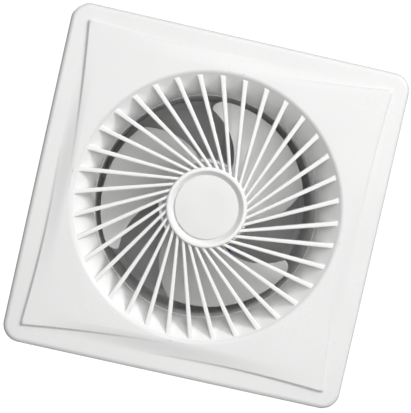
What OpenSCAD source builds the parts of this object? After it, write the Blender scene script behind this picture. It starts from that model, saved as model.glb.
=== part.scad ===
// Wall extractor fan for a bathroom, made for 150 mm ducting.
// The fan axis is Y. The grille faces -Y, the duct runs into the wall along +Y, and Z is up.
// The origin is on the fan axis, in the plane of the wall. Millimetres.

/* [Front panel] */
// Width and height of the square panel
panel_w = 220; // [214:1:232]
// Corner radius of the panel, seen from the front
panel_corner_r = 11.5; // [8:0.5:14]
// How far the rim of the panel stands out from the wall
panel_depth = 22; // [22:0.5:26]
// How far the middle of the panel stands proud of its rim
pillow_rise = 2; // [1:0.5:3]
// Wall thickness of the panel
panel_wall = 2.4; // [2:0.2:3]
// Diameter of the round opening
opening_d = 169.6; // [168:0.2:171]

/* [Grille] */
// Number of bars
bar_count = 36; // [24:1:40]
// Radius of the circle that the bars are tangent to
bar_swirl_r = 16.5; // [4:0.5:20]
// Turn of the first bar about the fan axis
bar_turn = 7; // [0:0.5:10]
// Width of a bar at the opening
bar_tip_w = 3.2; // [2.4:0.1:4]
// Width of a bar at the hub
bar_root_w = 1.9; // [1.4:0.1:2.4]
// Depth of a bar, front to back
bar_depth = 8; // [4:0.5:9]
// Diameter of the hub of the grille
grille_hub_d = 51.6; // [46:0.2:54]
// Diameter of the round cap set into the hub
hub_cap_d = 40.8; // [36:0.2:42]

/* [Duct] */
// Outside diameter of the spigot
spigot_d = 148; // [147:0.5:149]
// Wall thickness of the spigot
spigot_wall = 2; // [1.8:0.1:2.2]
// Length of the spigot behind the wall plane
spigot_len = 92; // [92:1:110]
// Length at the end of the spigot that the duct slides over, up to a shoulder
duct_push_on = 50; // [40:1:50]
// Thickness of the wall flange
flange_t = 3; // [2.6:0.2:3.4]
// Diameter of the wall screw holes
wall_screw_d = 4.8; // [4:0.2:5.2]
// Diameter of the hole in the cable grommet
cable_d = 8; // [6:0.5:9]

/* [Impeller] */
// Number of blades
blade_count = 3; // [2:1:3]
// Gap between the blade tips and the duct
tip_gap = 2; // [1.5:0.25:3]
// Diameter of the hub
impeller_hub_d = 57.4; // [54:0.2:58]
// Angle that one blade covers, seen from the front
blade_chord = 80; // [60:1:88]
// Angle by which the tip leads the root
blade_sweep = 32; // [10:1:36]
// Thickness of a blade
blade_t = 1.6; // [1.2:0.1:2]
// Turn of the impeller at rest
blade_turn = -53.5; // [-90:0.5:30]

/* [Motor] */
// Outside diameter of the motor
motor_d = 62; // [61:0.5:62]
// Diameter of the shaft
shaft_d = 5; // [4.5:0.1:5.2]
// Diameter of the rotor
rotor_d = 27.8; // [27:0.1:28]
// Gap between the rotor and the poles
air_gap = 0.4; // [0.3:0.05:0.5]
// Length of the lamination stack
stack_len = 14; // [12:0.5:14]

/* [Shutter] */
// Thickness of a flap
flap_t = 1.4; // [1.2:0.1:1.6]
// Diameter of the spindle that the flaps turn on
spindle_d = 3; // [2.6:0.1:3.2]

/* [Hidden] */
$fn = 96;

// Front panel and grille
half_w = panel_w / 2;
panel_gap = 1;
pillow_front = -panel_depth - pillow_rise;
pillow_inset = 10.3;
opening_r = opening_d / 2;
plate_back = -panel_depth + panel_wall;
tongue_x = half_w - 15;
tongue_z = half_w / 2;
tongue_w = 14;
tongue_t = 2;
tongue_gap = 0.4;

// Duct and flange
spigot_r = spigot_d / 2;
bore_r = spigot_r - spigot_wall;
flange_w = panel_w - 12;
flange_corner_r = 9;
wall_screw_x = flange_w / 2 - 8;
gasket_in_r = 82;
gasket_out_r = 86.5;
gasket_t = 1.2;
shoulder_r = spigot_r + 1;
shoulder_y = spigot_len - duct_push_on;
channel_out_r = spigot_r + 6;
channel_w = 9;
channel_len = 40;
channel_wall = 1.6;
lead_turn = 308;

// Bell mouth of the grille, a curve from the opening to the throat
mouth_r = opening_r - 0.3;
mouth_y = pillow_front + 1;
throat_r = bore_r + 0.6;
throat_y = -5;
bell_wall = 1.6;
bell_flange_r = mouth_r + 5.5;
bell_flange_t = 1.6;
bar_front = mouth_y + 0.4;
bar_back = bar_front + bar_depth;
grille_hub_r = grille_hub_d / 2;
hub_cap_r = hub_cap_d / 2;
hub_cap_t = 1.4;
hub_floor = pillow_front + 2 + hub_cap_t;
cap_stud_r = 3;

// Motor bracket, motor and rotor, from front to back
arm_turns = [60, 180, 300];
motor_r = motor_d / 2;
motor_wall = 1.2;
motor_front = 26;
motor_mid = 46;
motor_back = 2 * motor_mid - motor_front;
bracket_front = 36;
bracket_back = 50;
bracket_ring_r = motor_r + 2.3;
arm_t = 3;
ear_t = 1.5;
fixing_r = motor_r + 5;
foot_r = 4.5;
foot_pitch_r = bore_r - 5;
foot_t = 4;
foot_boss_len = 10;
pilot_r = 1.25;
screw_r = 1.25;
shaft_r = shaft_d / 2;
shaft_front = 6.5;
shaft_back = motor_back - 0.8;
bush_r = 5.5;
bush_half = 4;
bush_y = motor_front + 4.7;
bush_seat_r = sqrt(pow(bush_r, 2) - pow(bush_y - motor_front - motor_wall, 2));
bush_fit = 0.03;
felt_r = 8;
collar_r = felt_r + 1.2;
collar_back = 2 * bush_y - motor_front - motor_wall;
retainer_t = 0.5;
through_r = 27;
rotor_r = rotor_d / 2;
pole_r = rotor_r + air_gap;
shoe_r = pole_r + 3.2;
yoke_r = 24;
pole_turns = [45, 135, 225, 315];
pole_w = 9;
stack_front = motor_mid - stack_len / 2;
stack_back = motor_mid + stack_len / 2;
bobbin_t = 0.8;
coil_depth = 4;
coil_in_r = shoe_r + 0.9;
coil_out_r = yoke_r - 1;
coil_front = stack_front - bobbin_t - coil_depth;
ring_turn = 27;
cage_bars = 18;
cage_r = 12.3;
cage_bar_r = 0.9;

// Impeller
impeller_r = bore_r - tip_gap;
impeller_hub_r = impeller_hub_d / 2;
impeller_front = 1;
impeller_back = 24;
hub_wall = 1.8;
impeller_boss_r = 6;

// Terminal block, in the lower right corner of the flange
block_x0 = flange_w / 2 - 58;
block_x1 = block_x0 + 40;
block_z0 = -flange_w / 2 + 6;
block_z1 = block_z0 + 18;
block_front = -15.2;
pole_xs = [block_x0 + 10, block_x0 + 20, block_x0 + 30];
fixing_xs = [block_x0 + 3.3, block_x1 - 3.3];
clamp_w = 5.6;
clamp_y = -9.2;
clamp_zs = [block_z0 + 5, block_z1 - 5];
cover_front = -17;
cover_wall = 1.4;
cover_gap = 3;
grommet_x = 18;
grommet_z = -flange_w / 2 + 10;
grommet_r = 8;
cord_clamp_x = 32;
cord_clamp_zs = [grommet_z - 7.4, grommet_z + 7.4];
wire_r = 0.9;
wire_pitch = 1.05;

// Shutter at the back of the spigot
shutter_front = 69.5;
seat_t = 1.5;
seat_r = 67.5;
frame_r = bore_r - 0.1;
frame_in_r = bore_r - 2;
flap_front = shutter_front + seat_t + 0.4;
flap_r = frame_in_r - 1;
spindle_r = spindle_d / 2;
spindle_y = flap_front + 3.6;
knuckle_r = 3;
knuckle_w = 12;
knuckle_fit = 0.05;
right_knuckles = [10, -52];
left_knuckles = [40, -22];
boss_w = 8;
boss_z = 64;
flap_notch_x = 9;
spring_r = 2.4;
spring_wire_r = 0.35;
spring_half = 5.9;
spring_turns = 8;
leg_z = 7;
leg_reach = 18;

// A box given by its faces
module block(x0, x1, y0, y1, z0, z1) {
    translate([x0, y0, z0]) cube([x1 - x0, y1 - y0, z1 - z0]);
}

// A round rod on the fan axis from y0 to y1
module rod(r, y0, y1) {
    translate([0, y0, 0]) rotate([-90, 0, 0]) cylinder(r = r, h = y1 - y0);
}

// A round sleeve on the fan axis from y0 to y1
module sleeve(r_out, r_in, y0, y1) {
    difference() {
        rod(r_out, y0, y1);
        rod(r_in, y0 - 1, y1 + 1);
    }
}

// A front view outline made y0 to y1 thick
module slab(y0, y1) {
    translate([0, y1, 0]) rotate([90, 0, 0]) linear_extrude(y1 - y0) children();
}

// A profile of [radius, y] points turned about the fan axis
module turned(points) {
    rotate([-90, 0, 0]) rotate_extrude() polygon(points);
}

// Turns its children about the fan axis, anticlockwise seen from the front
module turn(a) {
    rotate([0, -a, 0]) children();
}

// Swaps front and back about the middle of the motor
module rear_half() {
    translate([0, 2 * motor_mid, 0]) mirror([0, 1, 0]) children();
}

// A square outline with round corners
module rounded_square(w, r) {
    square([w - 2 * r, w], center = true);
    square([w, w - 2 * r], center = true);
    for (x = [-1, 1], y = [-1, 1]) translate([x, y] * (w / 2 - r)) circle(r);
}

// A pan head screw on the axis x, z with its head in front of y
module pan_screw(x, z, y, head_r, head_h, length, r = screw_r) {
    translate([x, 0, z]) {
        difference() {
            rod(head_r, y - head_h, y);
            block(-head_r, head_r, y - head_h - 1, y - head_h + 0.8, -0.3, 0.3);
        }
        rod(r, y - 0.1, y + length);
    }
}

function unit(v) = v / norm(v);
function polar(a, r, y) = [r * cos(a), y, r * sin(a)];
function bezier(a, b, c, t) = (1 - t) * (1 - t) * a + 2 * t * (1 - t) * b + t * t * c;
function tangent(p, i) = unit(p[min(i + 1, len(p) - 1)] - p[max(i - 1, 0)]);
function carried(n, t) = unit(n - (n * t) * t);
function normals(p, n, i = 0) = i == len(p) ? []
    : let (m = carried(n, tangent(p, i))) concat([m], normals(p, m, i + 1));

// A rounded route through hand-set points: each corner becomes a short curve
function rounded_route(p, steps = 4) = concat(
    [p[0]],
    [for (i = [1:len(p) - 2], k = [0:steps])
        bezier((p[i - 1] + p[i]) / 2, p[i], (p[i] + p[i + 1]) / 2, k / steps + (k == 0 ? 0.02 : 0))],
    [p[len(p) - 1]]
);

// A round wire along a list of points
module wire(p, r, sides = 8) {
    n = normals(p, [0.3, 0.2, 0.93]);
    last = len(p) - 1;
    points = [for (i = [0:last], k = [0:sides - 1])
        let (b = cross(tangent(p, i), n[i]), a = 360 * k / sides)
        p[i] + r * (cos(a) * n[i] + sin(a) * b)];
    walls = [for (i = [0:last - 1], k = [0:sides - 1])
        let (m = (k + 1) % sides)
        [(i + 1) * sides + k, (i + 1) * sides + m, i * sides + m, i * sides + k]];
    start_cap = [[for (k = [0:sides - 1]) k]];
    end_cap = [[for (k = [sides - 1:-1:0]) last * sides + k]];
    polyhedron(points = points, faces = concat(walls, start_cap, end_cap));
}

// Outline of the raised middle of the panel: on each side the edge steps inwards half way along
function quarter(p, k) = k == 0 ? p : quarter([p[1], -p[0]], k - 1);
module pillow_outline() {
    corner = half_w - pillow_inset;
    side = [[-corner, corner], [8, half_w - 12.5], [4, half_w - 20.3]];
    polygon([for (k = [0:3], p = side) quarter(p, k)]);
}

// Square cover moulding with its raised middle, round opening and four push-fit tongues
module front_panel() {
    color("whitesmoke") {
        difference() {
            union() {
                slab(-panel_depth, -panel_gap) rounded_square(panel_w, panel_corner_r);
                slab(pillow_front, -panel_depth) pillow_outline();
            }
            slab(plate_back, 0) rounded_square(panel_w - 2 * panel_wall, panel_corner_r - panel_wall);
            rod(opening_r, pillow_front - 1, 0);
        }
        for (x = [-1, 1], z = [-1, 1]) translate([x * tongue_x, 0, z * tongue_z])
            block(-tongue_t / 2, tongue_t / 2, plate_back - 0.5, -flange_t - 1.5, -tongue_w / 2, tongue_w / 2);
    }
}

// Curve of the bell mouth: [radius, y] at t from 0 at the opening to 1 at the throat
function bell(t, extra = 0) = [extra, 0]
    + bezier([mouth_r, mouth_y], [throat_r + 1.4, (mouth_y + throat_y) / 2], [throat_r, throat_y], t);
function bell_at(y) = (y - mouth_y) / (throat_y - mouth_y);

// Bell mouth ring that clips behind the opening
module bell_mouth() {
    flange_back = plate_back + bell_flange_t;
    steps = 10;
    t_back = bell_at(flange_back);
    turned(concat(
        [for (k = [0:steps]) bell(k / steps)],
        [for (k = [steps:-1:0]) bell(t_back + (1 - t_back) * k / steps, bell_wall)],
        [[bell_flange_r, flange_back], [bell_flange_r, plate_back], [mouth_r, plate_back]]
    ));
}

// One straight bar, wider at the opening than at the hub, beside the fan axis
module grille_bar() {
    s0 = sqrt(pow(grille_hub_r - 1.3, 2) - pow(bar_swirl_r, 2));
    s1 = sqrt(pow(mouth_r + 1, 2) - pow(bar_swirl_r, 2));
    polygon([
        [s0, -bar_swirl_r - bar_root_w / 2], [s1, -bar_swirl_r - bar_tip_w / 2],
        [s1, -bar_swirl_r + bar_tip_w / 2], [s0, -bar_swirl_r + bar_root_w / 2]
    ]);
}

// Cup in the middle of the grille with a rounded rim and a sloping wall round the cap
module grille_hub() {
    rim_r = 1.1;
    arc = [for (a = [0:15:90])
        [grille_hub_r - rim_r * (1 - cos(a)), pillow_front + rim_r * (1 - sin(a))]];
    turned(concat(
        [[cap_stud_r + 0.05, hub_floor + 2], [cap_stud_r + 0.05, hub_floor], [hub_cap_r + 0.1, hub_floor]],
        [[hub_cap_r + 0.2, pillow_front + 1.9], [grille_hub_r - 2.4, pillow_front + 0.3],
            [grille_hub_r - 2, pillow_front]],
        [for (k = [len(arc) - 1:-1:0]) arc[k]],
        [[grille_hub_r, bar_back + 1.6], [grille_hub_r - 2, bar_back + 1.6], [grille_hub_r - 2, hub_floor + 2]]
    ));
}

// Bell mouth, swirling bars and hub in one moulding
module swirl_grille() {
    color("white") {
        bell_mouth();
        intersection() {
            slab(bar_front, bar_back) for (k = [0:bar_count - 1])
                rotate(bar_turn + 360 * k / bar_count) grille_bar();
            turned(concat(
                [[0, bar_front - 1], [mouth_r - 0.4, bar_front - 1], bell(bell_at(bar_front), 0.5)],
                [for (k = [1:6]) bell(bell_at(bar_front + bar_depth * k / 6), 0.5)],
                [bell(bell_at(bar_back + 1), 0.5), [0, bar_back + 1]]
            ));
        }
        grille_hub();
    }
}

// Plain disc pressed into the hub by its stud
module hub_cap() {
    color("gainsboro") {
        rod(hub_cap_r, hub_floor - hub_cap_t, hub_floor);
        rod(cap_stud_r, hub_floor - 0.1, hub_floor + 4.5);
    }
}

// Square socket that grips one tongue of the panel
module tongue_socket() {
    wall = 2.2;
    slot_t = tongue_t / 2 + tongue_gap;
    slot_w = tongue_w / 2 + tongue_gap;
    difference() {
        block(-slot_t - wall, slot_t + wall, -12, -flange_t, -slot_w - wall, slot_w + wall);
        block(-slot_t, slot_t, -13, -flange_t - 0.01, -slot_w, slot_w);
    }
}

// Round duct with a shoulder for the end of the ducting, bosses for the motor bracket and a
// window for the motor leads; it is welded into the wall flange
module duct_tube() {
    color("lightgray") {
        difference() {
            union() {
                rod(spigot_r, -flange_t, spigot_len);
                rod(shoulder_r, -flange_t, shoulder_y);
            }
            rod(bore_r, -flange_t - 1, spigot_len + 1);
            turn(lead_turn) block(bore_r - 1, shoulder_r + 1, 31.5, channel_len - channel_wall, -2.6, 2.6);
        }
        intersection() {
            rod(bore_r + 0.5, bracket_back, bracket_back + foot_boss_len);
            for (a = arm_turns) turn(a) difference() {
                union() {
                    translate([foot_pitch_r, 0, 0]) rod(foot_r, bracket_back, bracket_back + foot_boss_len);
                    block(foot_pitch_r, bore_r + 1, bracket_back, bracket_back + foot_boss_len,
                        -foot_r, foot_r);
                }
                translate([foot_pitch_r, 0, 0]) rod(pilot_r, bracket_back - 1, bracket_back + foot_boss_len + 1);
            }
        }
    }
}

// Square wall flange with a hole for the duct, the lead channel, the sockets and the screw holes
module wall_flange() {
    color("lightgray") {
        difference() {
            union() {
                slab(-flange_t, 0) rounded_square(flange_w, flange_corner_r);
                turn(lead_turn) block(shoulder_r - 1, channel_out_r, -flange_t, channel_len,
                    -channel_w / 2, channel_w / 2);
                for (z = cord_clamp_zs) translate([cord_clamp_x, 0, z]) rod(2.6, -9, -flange_t / 2);
            }
            rod(shoulder_r, -flange_t - 1, channel_len + 1);
            turn(lead_turn) block(shoulder_r - 2, channel_out_r - channel_wall, -flange_t - 1,
                channel_len - channel_wall, -channel_w / 2 + channel_wall, channel_w / 2 - channel_wall);
            sleeve(gasket_out_r, gasket_in_r, -gasket_t, 1);
            for (x = [-1, 1], z = [-1, 1]) translate([x * wall_screw_x, 0, z * wall_screw_x])
                rod(wall_screw_d / 2, -flange_t - 1, 1);
            translate([grommet_x, 0, grommet_z]) rod(grommet_r, -flange_t - 1, 1);
            for (z = cord_clamp_zs) translate([cord_clamp_x, 0, z]) rod(pilot_r, -10, -0.5);
            for (x = fixing_xs) translate([x, 0, (block_z0 + block_z1) / 2]) rod(pilot_r, -flange_t - 1, 1);
            translate([block_x0 - 6, 0, block_z1 - 2]) rod(pilot_r, -flange_t - 1, 1);
        }
        for (x = [-1, 1], z = [-1, 1]) translate([x * tongue_x, 0, z * tongue_z]) tongue_socket();
    }
}

// Foam ring in a groove at the back of the flange
module wall_gasket() {
    color("dimgray") sleeve(gasket_out_r, gasket_in_r, -gasket_t, 0);
}

// Ring round the motor on three arms, with a foot at the end of each arm
module motor_bracket() {
    color("dimgray") difference() {
        union() {
            rod(bracket_ring_r, bracket_front, bracket_back);
            for (a = arm_turns) turn(a) {
                block(motor_r + 1, foot_pitch_r - foot_r + 1, bracket_front, bracket_back, -arm_t / 2, arm_t / 2);
                translate([fixing_r, 0, 0]) rod(3, bracket_front, bracket_back);
                translate([foot_pitch_r, 0, 0]) rod(foot_r, bracket_back - foot_t, bracket_back);
            }
        }
        rod(motor_r + 0.1, bracket_front - 1, bracket_back + 1);
        for (a = arm_turns) turn(a) {
            translate([fixing_r, 0, 0]) rod(pilot_r, bracket_front - 1, bracket_back + 1);
            translate([foot_pitch_r, 0, 0]) rod(screw_r + 0.3, bracket_front, bracket_back + 1);
        }
    }
}

// Three screws that hold the feet of the bracket in the duct
module bracket_screws() {
    color("silver") for (a = arm_turns) turn(a)
        pan_screw(foot_pitch_r, 0, bracket_back - foot_t, 2.8, 2, 12);
}

// Half of the motor case: a cup with a bush seat in its end wall
module motor_cup() {
    difference() {
        union() {
            sleeve(motor_r, motor_r - motor_wall, motor_front, motor_mid);
            rod(motor_r - 0.5, motor_front, motor_front + motor_wall);
            sleeve(collar_r, felt_r, motor_front + 0.5, collar_back);
        }
        rod(bush_seat_r, motor_front - 1, motor_front + motor_wall + 1);
    }
}

// Front half of the motor case, with three ears, four screw bosses and the lead hole
module motor_front_shell() {
    color("silver") difference() {
        union() {
            motor_cup();
            for (k = [0:3]) turn(90 * k) translate([through_r, 0, 0])
                rod(2.7, motor_front + motor_wall / 2, stack_front);
            for (a = arm_turns) turn(a)
                block(motor_r - 0.8, fixing_r + 3.4, bracket_front - ear_t, bracket_front, -4, 4);
        }
        for (k = [0:3]) turn(90 * k) translate([through_r, 0, 0]) rod(pilot_r, motor_front + 3, stack_front + 1);
        for (a = arm_turns) turn(a) translate([fixing_r, 0, 0])
            rod(screw_r + 0.3, bracket_front - ear_t - 1, bracket_front + 1);
        turn(lead_turn + 2) translate([motor_r - 4, 31.4, 0]) rotate([0, 90, 0]) cylinder(r = 3, h = 6);
    }
}

// Rear half of the motor case
module motor_rear_shell() {
    color("silver") difference() {
        rear_half() motor_cup();
        for (k = [0:3]) turn(90 * k) translate([through_r, 0, 0])
            rod(screw_r + 0.15, motor_back - motor_wall - 1, motor_back + 1);
    }
}

// Laminated stator: round yoke and four pole shoes, each with a slot for its shading ring
module stator_core() {
    color("slategray") difference() {
        union() {
            sleeve(motor_r - motor_wall, yoke_r, stack_front, stack_back);
            for (a = pole_turns) turn(a) {
                block(shoe_r - 1, yoke_r + 1, stack_front, stack_back, -pole_w / 2, pole_w / 2);
                intersection() {
                    sleeve(shoe_r, pole_r, stack_front, stack_back);
                    slab(stack_front, stack_back)
                        polygon([[0, 0], [30, -30 * tan(35)], [30, 30 * tan(35)]]);
                }
            }
        }
        for (k = [0:3]) turn(90 * k) translate([through_r, 0, 0])
            rod(screw_r + 0.15, stack_front - 1, stack_back + 1);
        for (a = pole_turns) turn(a + ring_turn)
            block(pole_r - 1, pole_r + 2.4, stack_front - 1, stack_back + 1, -3.7, -2.5);
    }
}

// Frame round a pole neck, from the inner to the outer radius, grown by in and by out
module pole_frame(r0, r1, in_by, out_by) {
    difference() {
        block(r0, r1, stack_front - out_by, stack_back + out_by, -pole_w / 2 - out_by, pole_w / 2 + out_by);
        block(r0 - 1, r1 + 1, stack_front - in_by, stack_back + in_by, -pole_w / 2 - in_by, pole_w / 2 + in_by);
    }
}

// Round space between the pole shoes and the yoke that the windings stay inside
module winding_space() {
    sleeve(yoke_r - 0.1, shoe_r + 0.1, coil_front - 1, 2 * motor_mid - coil_front + 1);
}

// Four moulded bobbins, a sleeve between two cheeks
module coil_bobbins() {
    color("ivory") for (a = pole_turns) intersection() {
        turn(a) union() {
            pole_frame(coil_in_r - 0.6, coil_out_r + 0.6, 0.05, bobbin_t);
            pole_frame(coil_in_r - 0.6, coil_in_r, 0.05, bobbin_t + coil_depth);
            pole_frame(coil_out_r, coil_out_r + 0.6, 0.05, bobbin_t + coil_depth);
        }
        winding_space();
    }
}

// Four coils of enamelled wire
module stator_coils() {
    color("peru") for (a = pole_turns) intersection() {
        turn(a) pole_frame(coil_in_r, coil_out_r, bobbin_t, bobbin_t + coil_depth - 0.4);
        winding_space();
    }
}

// A copper band round one side of each pole shoe
module shading_rings() {
    color("sienna") for (a = pole_turns) turn(a + ring_turn) difference() {
        block(pole_r + 0.8, pole_r + 2.4, stack_front - 1.4, stack_back + 1.4, -3.7, 3.7);
        block(pole_r, pole_r + 3, stack_front, stack_back, -2.5, 2.5);
    }
}

// Round side of a bush as [radius, y] points, from one end face to the other
function bush_side(half, steps = 12) = [for (k = [0:steps])
    let (y = half * (2 * k / steps - 1)) [sqrt(pow(bush_r, 2) - pow(y, 2)), bush_y + y]];

// Self-aligning sintered bush: a ball with flat ends and a bore for the shaft
module bush() {
    bore = shaft_r + bush_fit;
    color("darkgoldenrod")
        turned(concat(bush_side(bush_half), [[bore, bush_y + bush_half], [bore, bush_y - bush_half]]));
}

module front_bush() {
    bush();
}

module rear_bush() {
    rear_half() bush();
}

// Oil soaked felt ring round a bush
module oil_felt() {
    half = 3;
    color("tan") turned(concat(bush_side(half), [[felt_r, bush_y + half], [felt_r, bush_y - half]]));
}

module front_oil_felt() {
    oil_felt();
}

module rear_oil_felt() {
    rear_half() oil_felt();
}

// Spring steel washer that holds a bush against its seat
module bush_retainer() {
    color("gray") difference() {
        rod(collar_r, collar_back, collar_back + retainer_t);
        rod(bush_seat_r + 0.02, collar_back - 1, collar_back + 1);
        for (k = [0:5]) turn(60 * k) block(bush_seat_r, felt_r - 0.6, collar_back - 1, collar_back + 1, -0.4, 0.4);
    }
}

module front_bush_retainer() {
    bush_retainer();
}

module rear_bush_retainer() {
    rear_half() bush_retainer();
}

// Thermal cut-out laid on one coil
module thermal_fuse() {
    color("black") turn(pole_turns[0])
        translate([(coil_in_r + coil_out_r) / 2, coil_front + 0.4 - 1.7, -5]) cylinder(r = 1.7, h = 10);
}

// Four long screws that clamp the case halves over the stator
module motor_through_screws() {
    color("silver") for (k = [0:3]) turn(90 * k) translate([through_r, 0, 0]) rear_half()
        pan_screw(0, 0, motor_front, 2.6, 1.8, motor_back - motor_front - 4);
}

// Three screws through the ears of the motor case
module motor_fixing_screws() {
    color("silver") for (a = arm_turns) turn(a)
        pan_screw(fixing_r, 0, bracket_front - ear_t, 2.6, 2, 11);
}

// Steel shaft with a flat for the impeller
module motor_shaft() {
    color("lightsteelblue") difference() {
        rod(shaft_r, shaft_front, shaft_back);
        block(-shaft_r - 1, shaft_r + 1, shaft_front - 1, impeller_back - 3, shaft_r - 0.5, shaft_r + 1);
    }
}

// Laminated rotor with slots for the cage bars
module rotor_core() {
    color("slategray") difference() {
        sleeve(rotor_r, shaft_r, stack_front, stack_back);
        for (k = [0:cage_bars - 1]) turn(360 * k / cage_bars) translate([cage_r, 0, 0])
            rod(cage_bar_r, stack_front - 1, stack_back + 1);
    }
}

// Cast aluminium squirrel cage: bars through the core and a ring at each end
module rotor_cage() {
    color("lightgray") {
        for (k = [0:cage_bars - 1]) turn(360 * k / cage_bars) translate([cage_r, 0, 0])
            rod(cage_bar_r, stack_front - 0.5, stack_back + 0.5);
        sleeve(rotor_r - 0.5, felt_r, stack_front - 2.4, stack_front);
        sleeve(rotor_r - 0.5, felt_r, stack_back, stack_back + 2.4);
    }
}

// Nylon thrust washer beside each bush
module thrust_washers() {
    color("white") {
        sleeve(5, shaft_r, collar_back + retainer_t + 0.3, collar_back + retainer_t + 1.3);
        rear_half() sleeve(5, shaft_r, collar_back + retainer_t + 0.3, collar_back + retainer_t + 1.3);
    }
}

// Steel retaining ring that backs each thrust washer
module shaft_clips() {
    color("gray") {
        sleeve(4.4, shaft_r, collar_back + retainer_t + 1.3, collar_back + retainer_t + 1.8);
        rear_half() sleeve(4.4, shaft_r, collar_back + retainer_t + 1.3, collar_back + retainer_t + 1.8);
    }
}

// A point of a blade: u runs from the leading to the trailing edge, s from the hub to the tip
function blade_angle(u, s) = blade_sweep * pow(s, 1.28 - 0.08 * u) - u * blade_chord;
function blade_radius(u, s) = let (root = impeller_hub_r - 1,
    tip = impeller_r - 3 * u - 5 * pow(max(0, 1 - u / 0.1), 2)) root + s * (tip - root);
function blade_y(u) = impeller_front + 1.4 + (impeller_back - impeller_front - blade_t - 2) * u;
function blade_point(u, s, y) = polar(blade_turn + blade_angle(u, s), blade_radius(u, s), blade_y(u) + y);

// One swept blade as a closed sheet of even thickness
module blade() {
    nu = 16;
    nv = 10;
    row = nv + 1;
    back = (nu + 1) * row;
    points = [for (y = [0, blade_t], i = [0:nu], k = [0:nv]) blade_point(i / nu, k / nv, y)];
    front_faces = [for (i = [0:nu - 1], k = [0:nv - 1])
        let (a = i * row + k) each [[a, a + row + 1, a + row], [a, a + 1, a + row + 1]]];
    back_faces = [for (i = [0:nu - 1], k = [0:nv - 1])
        let (a = back + i * row + k) each [[a, a + row, a + row + 1], [a, a + row + 1, a + 1]]];
    edge = concat(
        [for (i = [0:nu - 1]) i * row], [for (k = [0:nv - 1]) nu * row + k],
        [for (i = [nu:-1:1]) i * row + nv], [for (k = [nv:-1:1]) k]
    );
    count = len(edge);
    edge_faces = [for (i = [0:count - 1])
        let (a = edge[i], b = edge[(i + 1) % count]) each [[a, b, a + back], [b, b + back, a + back]]];
    polyhedron(points = points, faces = concat(front_faces, back_faces, edge_faces));
}

// Impeller moulding: closed hub, shaft boss with ribs, and swept blades
module impeller() {
    color("lightgray") {
        difference() {
            union() {
                sleeve(impeller_hub_r, impeller_hub_r - hub_wall, impeller_front, impeller_back);
                rod(impeller_hub_r - 0.5, impeller_front, impeller_front + hub_wall);
                rod(impeller_boss_r, impeller_front + 1, impeller_back - 2);
                for (k = [0:5]) turn(60 * k + 30) block(impeller_boss_r - 1, impeller_hub_r - 1,
                    impeller_front + 1, impeller_back - 8, -0.8, 0.8);
            }
            difference() {
                rod(shaft_r, shaft_front, impeller_back);
                block(-shaft_r - 1, shaft_r + 1, shaft_front - 1, impeller_back - 3, shaft_r - 0.5, shaft_r + 1);
            }
        }
        for (k = [0:blade_count - 1]) turn(360 * k / blade_count) blade();
    }
}

// Spring ring round the end of the shaft boss
module impeller_clip() {
    color("gray") sleeve(impeller_boss_r + 1, impeller_boss_r, impeller_back - 6, impeller_back - 3);
}

// Connector block with a channel for each brass clamp, screw wells and two fixing holes
module terminal_block() {
    color("white") difference() {
        block(block_x0, block_x1, block_front, -flange_t, block_z0, block_z1);
        for (x = pole_xs) {
            block(x - clamp_w / 2, x + clamp_w / 2, clamp_y - clamp_w / 2, clamp_y + clamp_w / 2,
                block_z0 - 1, block_z1 + 1);
            for (z = clamp_zs) translate([x, 0, z]) rod(2.2, block_front - 1, clamp_y);
        }
        for (x = fixing_xs) translate([x, 0, (block_z0 + block_z1) / 2]) {
            rod(2.8, block_front - 1, -8);
            rod(screw_r + 0.3, block_front, 0);
        }
    }
}

// Brass clamps with a wire hole along Z and two screw holes
module terminal_clamps() {
    color("gold") for (x = pole_xs) difference() {
        block(x - clamp_w / 2, x + clamp_w / 2, clamp_y - clamp_w / 2, clamp_y + clamp_w / 2,
            block_z0 + 1.5, block_z1 - 1.5);
        translate([x, clamp_y, block_z0]) cylinder(r = 1.6, h = block_z1 - block_z0);
        for (z = clamp_zs) translate([x, 0, z]) rod(screw_r, block_front, clamp_y);
    }
}

// Two clamp screws for each pole
module terminal_screws() {
    color("silver") for (x = pole_xs, z = clamp_zs) pan_screw(x, z, -12.4, 1.9, 1.8, 2.2);
}

// Two screws that hold the connector block to the flange
module block_screws() {
    color("silver") for (x = fixing_xs) pan_screw(x, (block_z0 + block_z1) / 2, -8, 2.6, 2, 7.4);
}

// Cover over the connections, open at the back, with gaps for the cable and the motor leads
module terminal_cover() {
    x0 = block_x0 - cover_gap;
    x1 = block_x1 + cover_gap;
    z0 = block_z0 - cover_gap;
    z1 = block_z1 + cover_gap;
    ear_x = block_x0 - 6;
    ear_z = block_z1 - 2;
    color("whitesmoke") difference() {
        union() {
            block(x0, x1, cover_front, -flange_t, z0, z1);
            block(ear_x - 3.4, x0 + 1, -flange_t - 1.6, -flange_t, ear_z - 4, ear_z + 4);
        }
        block(x0 + cover_wall, x1 - cover_wall, cover_front + cover_wall, 0, z0 + cover_wall, z1 - cover_wall);
        block(x0 - 1, x0 + 2, -11, 0, grommet_z - 4.2, grommet_z + 4.2);
        block(pole_xs[0] - 3, pole_xs[1] + 3, -11.4, 0, z1 - 2, z1 + 1);
        translate([ear_x, 0, ear_z]) rod(screw_r + 0.3, -flange_t - 3, 0);
    }
}

// Screw through the ear of the cover
module cover_screw() {
    color("silver") pan_screw(block_x0 - 6, block_z1 - 2, -flange_t - 1.6, 2.6, 2, 4);
}

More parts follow.
